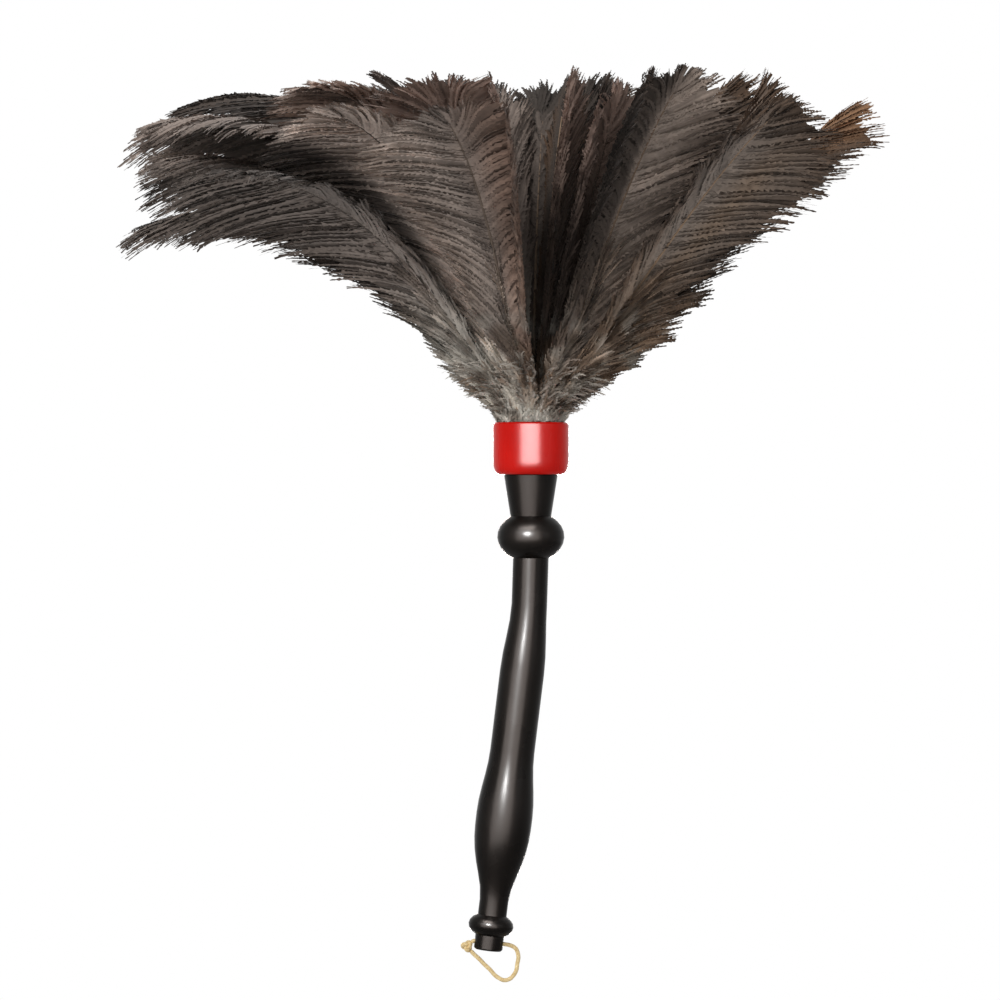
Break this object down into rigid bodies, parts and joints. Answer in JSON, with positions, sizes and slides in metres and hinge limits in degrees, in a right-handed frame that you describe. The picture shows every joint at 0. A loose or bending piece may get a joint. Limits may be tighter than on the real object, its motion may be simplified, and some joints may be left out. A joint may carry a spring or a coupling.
{
  "type": "feather duster",
  "caption": "Hand duster: a plume of wired ostrich feathers in a short red collar on a bowed, turned black handle with a hang loop.",
  "frame": {"origin": "middle of the hand grip, on the handle's axis", "axes": "+Z along the collar's axis towards the plume, +X the side that the handle bows away from, -Y the front"},
  "size_m": [0.3768, 0.2768, 0.4623],
  "materials": {
    "black_lacquer": "turned hardwood under gloss black lacquer",
    "bare_beech": "bare turned beech dowel",
    "red_plastic": "moulded, glossy red",
    "binding_steel": "soft galvanised wire",
    "tan_lace": "pale tan round lace",
    "plume_dark": "very dark brown ostrich feather",
    "plume_umber": "dark grey-brown ostrich feather",
    "plume_taupe": "taupe-grey ostrich feather"
  },
  "bodies": {
    "duster": {"handle": "black_lacquer", "core_peg": "bare_beech", "collar": "red_plastic", "binding_wire_inner": "binding_steel", "binding_wire_middle": "binding_steel", "binding_wire_outer": "binding_steel", "feather_inner_01": "plume_dark", "feather_inner_02": "plume_dark", "feather_inner_03": "plume_dark", "feather_inner_04": "plume_dark", "feather_inner_05": "plume_dark", "feather_inner_06": "plume_dark", "feather_inner_07": "plume_dark", "feather_inner_08": "plume_dark", "feather_middle_01": "plume_umber", "feather_middle_02": "plume_umber", "feather_middle_03": "plume_umber", "feather_middle_04": "plume_umber", "feather_middle_05": "plume_umber", "feather_middle_06": "plume_umber", "feather_middle_07": "plume_umber", "feather_middle_08": "plume_umber", "feather_middle_09": "plume_umber", "feather_middle_10": "plume_umber", "feather_middle_11": "plume_umber", "feather_middle_12": "plume_umber", "feather_outer_01": "plume_taupe", "feather_outer_02": "plume_taupe", "feather_outer_03": "plume_taupe", "feather_outer_04": "plume_taupe", "feather_outer_05": "plume_taupe", "feather_outer_06": "plume_taupe", "feather_outer_07": "plume_taupe", "feather_outer_08": "plume_taupe", "feather_outer_09": "plume_taupe", "feather_outer_10": "plume_taupe", "feather_outer_11": "plume_taupe", "feather_outer_12": "plume_taupe", "feather_outer_13": "plume_taupe", "feather_outer_14": "plume_taupe", "feather_outer_15": "plume_taupe", "feather_outer_16": "plume_taupe"},
    "hanger": {"hang_loop": "tan_lace", "loop_knot": "tan_lace"}
  },
  "joints": [
    {"name": "loop_swing", "type": "hinge", "parent": "duster", "child": "hanger", "pos_m": [-0.0078, 0, -0.06352], "axis": [0.9925, 0, -0.1219], "range_deg": [-110, 110]}
  ]
}
